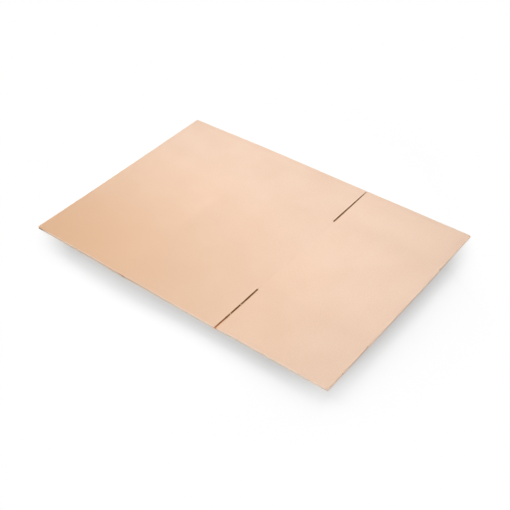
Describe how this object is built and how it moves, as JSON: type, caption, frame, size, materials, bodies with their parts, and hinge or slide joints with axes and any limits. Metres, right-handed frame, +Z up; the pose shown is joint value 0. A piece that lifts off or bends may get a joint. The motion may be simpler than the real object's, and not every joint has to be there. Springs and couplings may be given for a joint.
{
  "type": "flattened cardboard box",
  "caption": "Regular slotted shipping box of corrugated kraft board, glued, creased and folded flat, with slots between its flaps and a glued seam on its underside.",
  "frame": {"origin": "centre of the flat box on the surface that it lies on", "axes": "+X across the panels from the left fold to the right fold, +Y along the flutes from the front flaps to the back flaps, +Z up out of the surface"},
  "size_m": [0.8972, 0.622, 0.007],
  "materials": {
    "kraft_board": "matt uncoated kraft liner"
  },
  "bodies": {
    "root": {"flattened_box": "kraft_board"}
  },
  "joints": []
}
